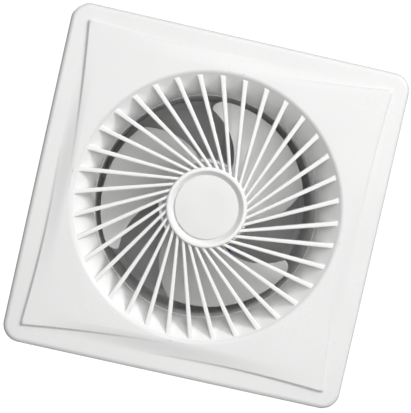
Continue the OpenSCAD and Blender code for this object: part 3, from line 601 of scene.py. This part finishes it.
gasket = revolved("wall_gasket_foam", gasket_profile, foam.material, columns=180)
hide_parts("wall_gasket")
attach(gasket, "housing")

# ---------------------------------------------------------------- motor bracket
# A ring round the motor on three flat arms, moulded in glass-filled nylon, with a screw foot at
# the end of each arm. The glass shows as short pale fibres in a slightly dry surface.


def filled_nylon(name, colour):
    """Glass-filled nylon: a dry skin with pale fibres that follow the flow."""
    finish = Finish(name, IOR=1.53)
    fibres = finish.put("ShaderNodeTexNoise", None, {
        "Vector": finish.place((1.0, 0.16, 1.0)), "Scale": 3200.0, "Detail": 2.0, "Distortion": 0.6})
    patch = finish.noise(12.0)
    pale = tuple(min(c * 1.35 + 0.03, 1.0) for c in colour)
    streak = ((fibres - 0.56) * 6.0).clipped()
    return finish.drive(Base_Color=finish.shade(streak * 0.5 + (patch - 0.5) * 0.3, colour, pale),
                        Roughness=0.52 + (fibres - 0.5) * 0.25 + (patch - 0.5) * 0.1,
                        Normal=finish.relief(fibres, 0.012, 0.35))


paint(filled_nylon("bracket_nylon", (0.50, 0.50, 0.50)), "motor_bracket")

# ---------------------------------------------------------------- screws
# Self-tapping pan head screws and the four long motor screws, steel with bright zinc plating.
# Plating pools unevenly, so the gloss wanders, and drivers leave fine scratches.


def metal(name, colour, dull=0.3, worn=0.12, lay=(1.0, 1.0, 1.0), line=0.25, depth=0.004, edge=0.2):
    """A metal surface: lay stretches its fine lines along an axis, line is their width in mm."""
    finish = Finish(name, Metallic=1.0)
    lines = finish.noise(line, finish.place(lay), detail=4.0)
    cloud = finish.noise(6.0)
    darker = tuple(c * (1.0 - 1.6 * worn) for c in colour)
    return finish.drive(
        Base_Color=finish.shade((cloud - 0.3) * 1.6 + (lines - 0.5) * 0.6, colour, darker),
        Roughness=dull + (lines - 0.5) * 0.22 + (cloud - 0.5) * worn,
        Normal=finish.relief(lines, depth, edge))


paint(metal("zinc_plated_steel", (0.72, 0.73, 0.74), dull=0.30), "bracket_screws",
      "motor_through_screws", "motor_fixing_screws", "block_screws", "cover_screw", "clamp_screws",
      "terminal_screws")

# ---------------------------------------------------------------- motor case
# Two cups drawn from hot-dip galvanised sheet and clamped over the stator. The zinc freezes in
# broad crystals, seen as patches of slightly different grey and gloss.
case = Finish("galvanised_sheet", Metallic=1.0)
crystal = case.put("ShaderNodeTexVoronoi", {"feature": "F1"},
                   {"Vector": case.place(), "Scale": 260.0, "Randomness": 1.0}, out="Color")
spangle = case.put("ShaderNodeSeparateColor", None, {"Color": crystal}, out=0)
grit = case.noise(0.4)
case.drive(Base_Color=case.shade(spangle, (0.60, 0.61, 0.62), (0.74, 0.75, 0.76)),
           Roughness=0.34 + (spangle - 0.5) * 0.16 + (grit - 0.5) * 0.12,
           Normal=case.relief(grit, 0.006, 0.3))
paint(case.material, "motor_front_shell", "motor_rear_shell")

# ---------------------------------------------------------------- stator, rotor and windings
# Stator and rotor are stacks of half-millimetre silicon steel sheets, so their sides show fine
# lines. Four bobbins carry enamelled copper wire, and copper bands shade the poles.
SHEET_T = 0.5
WIRE_D = 0.42


def stacked(name, colour, dull):
    """Punched sheets pressed together: a groove every sheet thickness along the fan axis."""
    finish = Finish(name, Metallic=1.0)
    y = finish.put("ShaderNodeSeparateXYZ", None, {"Vector": finish.place()}, out="Y")
    groove = (y * (2 * math.pi / (SHEET_T * MM))).sine()
    groove = ((groove - 0.55) * 2.2).clipped()
    rust = finish.noise(3.0)
    tint = finish.shade(groove * 0.6 + (rust - 0.4) * 0.7, colour, (0.16, 0.13, 0.11))
    return finish.drive(Base_Color=tint, Roughness=dull + groove * 0.2 + (rust - 0.5) * 0.2,
                        Normal=finish.relief(1.0 - groove, 0.05, 0.1))


paint(stacked("stator_sheets", (0.42, 0.43, 0.45), 0.42), "stator_core")
paint(stacked("rotor_sheets", (0.38, 0.38, 0.39), 0.38), "rotor_core")

winding = Finish("enamelled_copper_wire", Metallic=1.0, Coat_Roughness=0.15)
spot = winding.put("ShaderNodeSeparateXYZ", None, {"Vector": winding.place()})
across = Wire(winding, spot.socket.node.outputs["X"])
upright = Wire(winding, spot.socket.node.outputs["Z"])
reach = (across * across + upright * upright).root()
turn_line = (reach * (2 * math.pi / (WIRE_D * MM))).sine()
lie = winding.noise(1.2)
# The copper is painted darker in the troughs between wire turns, where the bump is low: this is painted
# shade between the wires. The lie noise varies the copper's tone at random.
winding.drive(Base_Color=winding.shade((0.5 - turn_line * 0.5) * 0.8 + (lie - 0.5) * 0.4,
                                       (0.78, 0.36, 0.16), (0.30, 0.11, 0.05)),
              Roughness=0.28 + (lie - 0.5) * 0.2, Coat_Weight=0.5 + (lie - 0.5) * 0.3,
              Normal=winding.relief(turn_line + (lie - 0.5) * 1.2, 0.10))
paint(winding.material, "stator_coils")
paint(moulded("bobbin_nylon", (0.72, 0.69, 0.60), gloss=0.45, grain=0.5, depth=0.006, edge=0.15,
              Subsurface_Weight=0.1), "coil_bobbins")
paint(metal("copper_band", (0.80, 0.42, 0.27), dull=0.34, worn=0.2, lay=(1.0, 0.1, 1.0)),
      "shading_rings")
paint(metal("cast_aluminium", (0.70, 0.71, 0.72), dull=0.45, worn=0.2, line=0.6, depth=0.012),
      "rotor_cage")
paint(metal("ground_shaft_steel", (0.66, 0.67, 0.69), dull=0.16, worn=0.06, lay=(1.0, 18.0, 1.0),
            line=2.0, depth=0.002), "motor_shaft")

# ---------------------------------------------------------------- bushes, felts and small motor parts
# Self-aligning bushes sintered from bronze powder, held by spring steel washers beside oiled felt.
# The thermal cut-out lies on one coil in its sleeve; washers and clips locate the shaft.
sintered = Finish("sintered_bronze", Metallic=1.0)
pores = sintered.put("ShaderNodeTexVoronoi", {"feature": "F1"},
                     {"Vector": sintered.place(), "Scale": 4200.0})
oil = sintered.noise(2.0)
sintered.drive(Base_Color=sintered.shade(oil, (0.62, 0.43, 0.22), (0.42, 0.27, 0.12)),
               Roughness=0.38 + (oil - 0.5) * 0.2,
               Normal=sintered.relief((pores * 2.0).clipped(), 0.02, 0.15))
paint(sintered.material, "front_bush", "rear_bush")

felt = Finish("oiled_felt", Sheen_Weight=0.5, Sheen_Roughness=0.5)
hair = felt.put("ShaderNodeTexNoise", None,
                {"Vector": felt.place((1.0, 0.35, 1.0)), "Scale": 5200.0, "Detail": 5.0, "Distortion": 1.5})
soak = felt.noise(3.0)
felt.drive(Base_Color=felt.shade(soak * 0.7 + hair * 0.4, (0.46, 0.38, 0.25), (0.20, 0.15, 0.08)),
           Roughness=0.92 - soak * 0.25, Normal=felt.relief(hair, 0.12))
paint(felt.material, "front_oil_felt", "rear_oil_felt")
paint(metal("spring_steel", (0.46, 0.47, 0.50), dull=0.26, worn=0.1, edge=0.12), "front_bush_retainer",
      "rear_bush_retainer", "shaft_clips", "impeller_clip", "shutter_spring", "spring_leg_left",
      "spring_leg_right")
paint(moulded("fuse_sleeve", (0.07, 0.07, 0.07), gloss=0.55, grain=0.3, depth=0.01, edge=0.2),
      "thermal_fuse")
paint(moulded("washer_nylon", (0.66, 0.64, 0.58), gloss=0.4, grain=0.3, depth=0.004, edge=0.1),
      "thrust_washers")

# ---------------------------------------------------------------- supply terminals and cable parts
# A polyamide connector block with brass clamps under a white cover, and a bar that grips
# the supply cable beside its rubber grommet. All of it hides behind the front panel.
paint(moulded("terminal_polyamide", (0.70, 0.70, 0.67), gloss=0.38, grain=0.5, depth=0.006, edge=0.3),
      "terminal_block", "cable_clamp")
paint(metal("clamp_brass", (0.80, 0.62, 0.30), dull=0.28, worn=0.16, lay=(1.0, 1.0, 0.12)),
      "terminal_clamps")
paint(moulded("cover_abs", (0.74, 0.74, 0.73), gloss=0.32, grain=0.6, depth=0.005, edge=0.4),
      "terminal_cover")
rubber = moulded("grommet_rubber", (0.035, 0.035, 0.036), gloss=0.62, grain=0.35, depth=0.015, edge=0.4,
                 mottle=0.3)
paint(rubber, "cable_grommet", "lead_grommet")
paint(moulded("clip_nylon", (0.06, 0.06, 0.062), gloss=0.42, grain=0.4, depth=0.008, edge=0.25),
      "lead_clip")

# ---------------------------------------------------------------- motor leads
# Two stranded leads in brown and blue PVC from the motor to the terminals, along one arm and
# through the channel beside the duct. The insulation is smooth, with faint drawing lines.


def insulation(name, colour):
    """Drawn PVC insulation with a soft gloss and a little handling dirt."""
    finish = Finish(name, IOR=1.52, Coat_Weight=0.15)
    grime = finish.noise(5.0)
    drawn = finish.noise(0.25)
    darker = tuple(c * 0.72 for c in colour)
    return finish.drive(Base_Color=finish.shade((grime - 0.35) * 1.5, colour, darker),
                        Roughness=0.34 + (grime - 0.5) * 0.2 + (drawn - 0.5) * 0.1,
                        Normal=finish.relief(drawn, 0.006))


paint(insulation("brown_pvc", (0.20, 0.085, 0.035)), "live_lead")
paint(insulation("blue_pvc", (0.035, 0.13, 0.42)), "neutral_lead")

# ---------------------------------------------------------------- back-draught shutter
# An ABS ring pressed into the end of the spigot carries a steel spindle with two thin moulded
# flaps. The fan's air blows them open and a light coil spring closes them.
paint(moulded("shutter_abs", (0.66, 0.66, 0.655), gloss=0.40, grain=0.6, depth=0.006, edge=0.3,
              mottle=0.04), "shutter_frame")
paint(moulded("flap_abs", (0.62, 0.62, 0.615), gloss=0.36, grain=0.8, depth=0.010, edge=0.2,
              mottle=0.06), "shutter_flap_left", "shutter_flap_right")
paint(metal("spindle_steel", (0.64, 0.65, 0.67), dull=0.2, worn=0.08, lay=(1.0, 1.0, 0.08)),
      "shutter_spindle")

# ---------------------------------------------------------------- camera, light and stage
# A long lens just left of and above the fan's axis, rolled about its line of sight. Large soft
# lamps light the front from the upper right, and a small pale floor lies well below the fan.
VIEW_LEFT = 2.1
VIEW_UP = 1.8
VIEW_ROLL = 12.75
VIEW_DISTANCE = 800.0
LENS = 109.8
SENSOR = 36.0
aim = Vector((-0.8, 0.0, 0.5))
a, e = math.radians(VIEW_LEFT), math.radians(VIEW_UP)
back = Vector((-math.sin(a) * math.cos(e), -math.cos(a) * math.cos(e), math.sin(e)))
centre = Vector((0.0, RIM_FRONT, 0.0)) + aim
camera = bpy.data.objects.new("camera", bpy.data.cameras.new("camera"))
camera.data.lens = LENS
camera.data.sensor_width = SENSOR
look = (-back).to_track_quat("-Z", "Y").to_matrix().to_4x4()
roll = Matrix.Rotation(math.radians(VIEW_ROLL), 4, "Z")
camera.matrix_world = Matrix.Translation((centre + back * VIEW_DISTANCE) * MM) @ (look @ roll)
camera.data.clip_start = 0.01
bpy.context.scene.collection.objects.link(camera)
bpy.context.scene.camera = camera


def soft_light(name, place, size, power):
    """A round area lamp at place, in metres, that faces the middle of the fan."""
    lamp = bpy.data.lights.new(name, "AREA")
    lamp.shape = "DISK"
    lamp.size = size
    lamp.energy = power
    holder = bpy.data.objects.new(name, lamp)
    holder.location = place
    holder.rotation_mode = "QUATERNION"
    holder.rotation_quaternion = (-Vector(place)).to_track_quat("-Z", "Y")
    bpy.context.scene.collection.objects.link(holder)


soft_light("key_upper_right", (1.0, -1.05, 1.0), 0.5, 16.0)
soft_light("fill_front", (0.1, -1.6, 0.3), 1.6, 16.0)
soft_light("fill_right", (1.2, -0.9, 0.0), 1.2, 4.4)
soft_light("fill_top", (0.0, -0.9, 1.3), 1.2, 5.6)
soft_light("fill_left", (-1.3, -0.7, -0.1), 0.9, 2.4)
soft_light("back_soft", (-0.9, 1.3, 0.9), 0.8, 14.0)

WHITE = (1.0, 1.0, 1.0, 1.0)
SURROUND_STRENGTH = 0.05
BACKDROP_STRENGTH = 1.1
world = bpy.data.worlds.new("studio")
bpy.context.scene.world = world
world.use_nodes = True
studio = world.node_tree
surround = studio.nodes["Background"]
seen = studio.nodes.new("ShaderNodeBackground")
for backdrop, strength in ((surround, SURROUND_STRENGTH), (seen, BACKDROP_STRENGTH)):
    backdrop.inputs["Color"].default_value = WHITE
    backdrop.inputs["Strength"].default_value = strength
rays = studio.nodes.new("ShaderNodeLightPath")
choose = studio.nodes.new("ShaderNodeMixShader")
studio.links.new(rays.outputs["Is Camera Ray"], choose.inputs[0])
studio.links.new(surround.outputs[0], choose.inputs[1])
studio.links.new(seen.outputs[0], choose.inputs[2])
studio.links.new(choose.outputs[0], studio.nodes["World Output"].inputs["Surface"])

FLOOR_R = 150.0
FLOOR_T = 3.0
FLOOR_DROP = 0.27
floor_profile = [(0.0, 0.0), (FLOOR_R, 0.0), (FLOOR_R, FLOOR_T), (0.0, FLOOR_T)]
floor_pale = moulded("floor_pale", (0.8, 0.8, 0.8), gloss=0.6)
floor = revolved("floor_disc", floor_profile, floor_pale, columns=96)
floor.data.transform(Matrix.Translation((0, 0, -FLOOR_DROP)) @ Matrix.Rotation(math.radians(-90), 4, "X"))

scene = bpy.context.scene
scene.view_settings.view_transform = "Standard"
scene.view_settings.look = "None"
